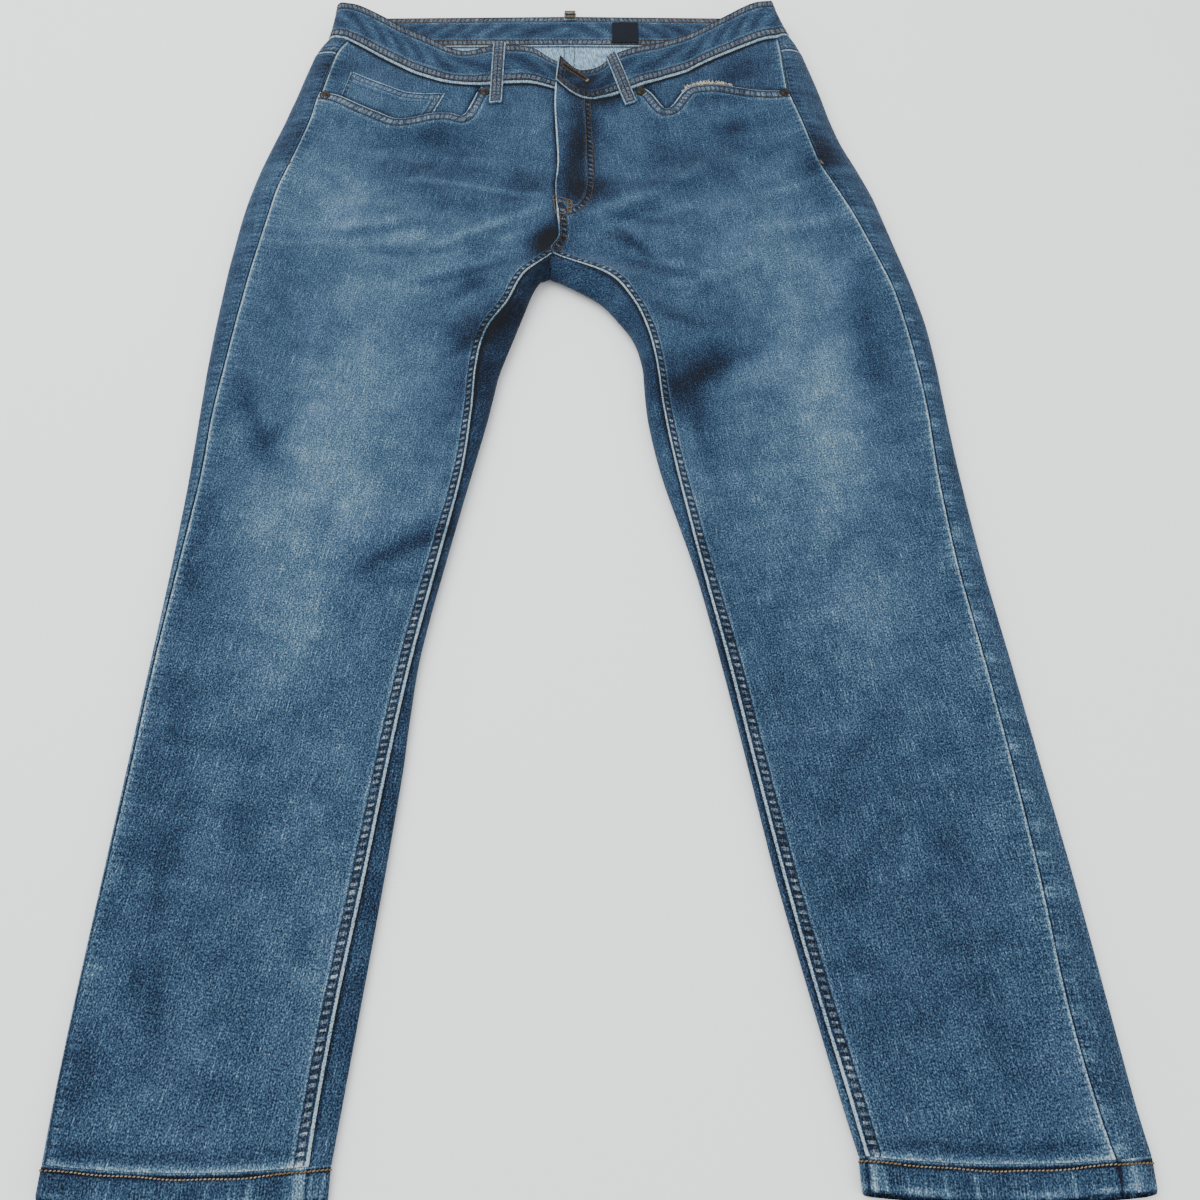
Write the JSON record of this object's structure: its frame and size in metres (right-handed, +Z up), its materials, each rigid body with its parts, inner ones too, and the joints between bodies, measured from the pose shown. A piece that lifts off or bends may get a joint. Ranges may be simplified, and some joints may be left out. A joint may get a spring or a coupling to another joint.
{
  "type": "slim fit jeans",
  "caption": "Slim fit denim jeans laid flat on the back, legs apart, with a laid-open waistband tab, front and back pockets, belt loops, rivets and turned hems.",
  "frame": {"origin": "on the ground under the middle of the laid garment, in plan", "axes": "+Y from the hems to the waist, +X to the wearer's left, +Z up, away from the surface it lies on"},
  "size_m": [0.6931, 1.074, 0.0275],
  "materials": {
    "denim": "washed mid-blue stretch denim, faded on the thighs",
    "denim_shade": "washed mid-blue stretch denim, darker where it is not worn",
    "denim_facing": "washed blue denim, pocket facing",
    "zip_tape": "dark blue woven tape",
    "size_label": "dark navy woven label, bare",
    "trim_metal": "dark antique"
  },
  "bodies": {
    "root": {"front_panel_R": "denim", "front_panel_L": "denim", "waistband_R": "denim", "waistband_L": "denim", "hem_R": "denim", "hem_L": "denim", "coin_pocket": "denim", "belt_loop_front_R": "denim", "belt_loop_front_L": "denim", "back_panel_R": "denim_shade", "back_panel_L": "denim_shade", "back_yoke_R": "denim_shade", "back_yoke_L": "denim_shade", "back_pocket_R": "denim_shade", "back_pocket_L": "denim_shade", "belt_loop_back_R": "denim_shade", "belt_loop_back": "denim_shade", "belt_loop_back_L": "denim_shade", "fly_underlap": "denim_shade", "pocket_facing_R": "denim_facing", "pocket_facing_L": "denim_facing", "zip": "zip_tape", "size_label": "size_label", "rivet_side_R": "trim_metal", "rivet_inner_R": "trim_metal", "rivet_side_L": "trim_metal", "rivet_inner_L": "trim_metal", "waist_button": "trim_metal"}
  },
  "joints": []
}
